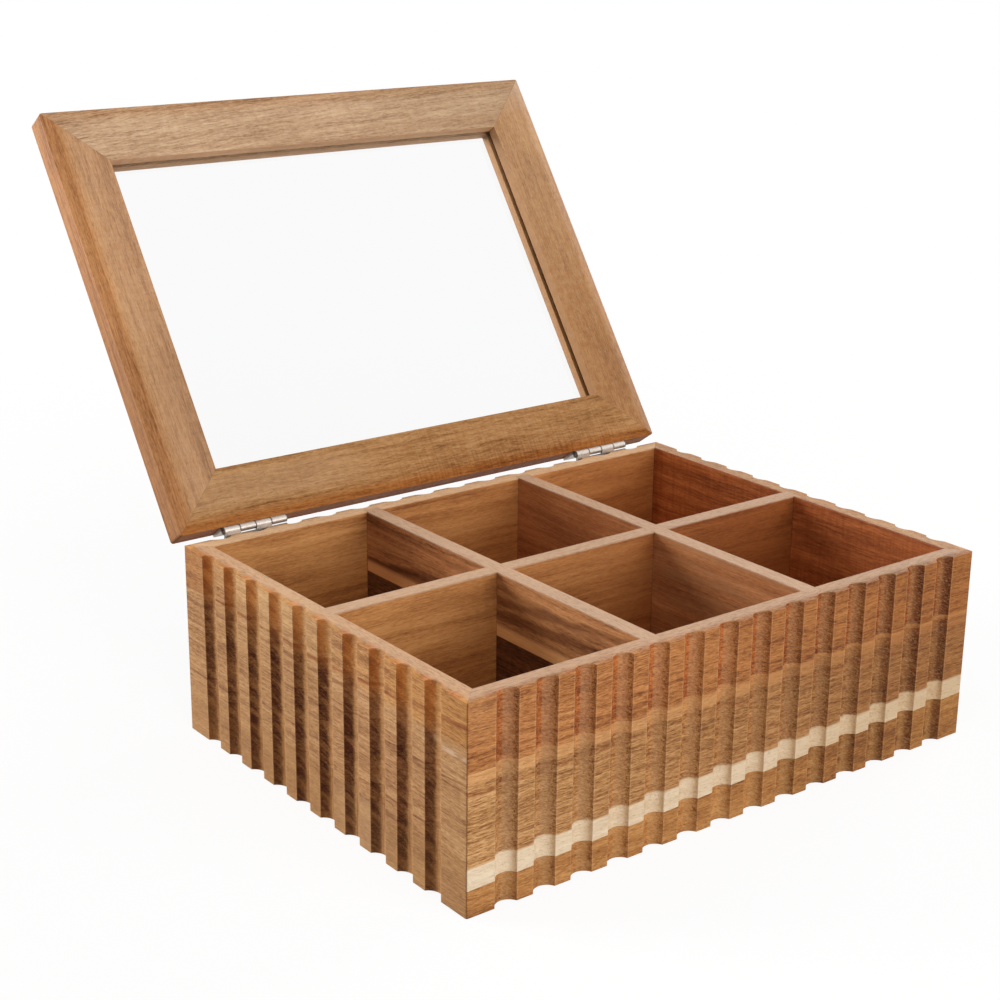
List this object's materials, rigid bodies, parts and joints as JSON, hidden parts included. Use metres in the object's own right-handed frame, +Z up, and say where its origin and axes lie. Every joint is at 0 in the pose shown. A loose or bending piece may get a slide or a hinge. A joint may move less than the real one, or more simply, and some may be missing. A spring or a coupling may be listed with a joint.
{
  "type": "tea bag organizer box",
  "caption": "Fluted wooden tea bag box with compartments for tea bag envelopes and a hinged lid framed round a clear glass pane, shown standing open.",
  "frame": {"origin": "centre of the box's underside", "axes": "+X to the right along the long side and the hinges, +Y to the hinged back, +Z up; the lid stands open"},
  "size_m": [0.24, 0.295, 0.2269],
  "materials": {
    "wood_tan": "oiled, satin",
    "wood_orange": "oiled, satin",
    "wood_brown": "oiled, satin",
    "wood_light": "oiled, satin",
    "glass": "clear, polished",
    "hinge_metal": "nickel plated, satin"
  },
  "bodies": {
    "box": {"front_wall_top_stave": "wood_orange", "front_wall_middle_stave": "wood_tan", "front_wall_bottom_stave": "wood_orange", "back_wall_upper_stave": "wood_tan", "back_wall_lower_stave": "wood_orange", "left_wall_upper_stave": "wood_tan", "left_wall_lower_stave": "wood_orange", "right_wall_upper_stave": "wood_tan", "right_wall_lower_stave": "wood_orange", "floor_panel": "wood_light", "long_divider": "wood_tan", "left_cross_divider_upper_stave": "wood_brown", "left_cross_divider_lower_stave": "wood_brown", "right_cross_divider": "wood_tan", "left_hinge_box_leaf": "hinge_metal", "right_hinge_box_leaf": "hinge_metal", "left_hinge_pin": "hinge_metal", "right_hinge_pin": "hinge_metal", "box_hinge_screws": "hinge_metal"},
    "lid": {"lid_front_rail": "wood_light", "lid_back_rail": "wood_tan", "lid_left_stile": "wood_orange", "lid_right_stile": "wood_tan", "lid_glass": "glass", "left_hinge_lid_leaf": "hinge_metal", "right_hinge_lid_leaf": "hinge_metal", "lid_hinge_screws": "hinge_metal"}
  },
  "joints": [
    {"name": "lid_hinge", "type": "hinge", "parent": "box", "child": "lid", "pos_m": [0, 0.0921, 0.0772], "axis": [1, 0, 0], "range_deg": [0, 125]}
  ]
}
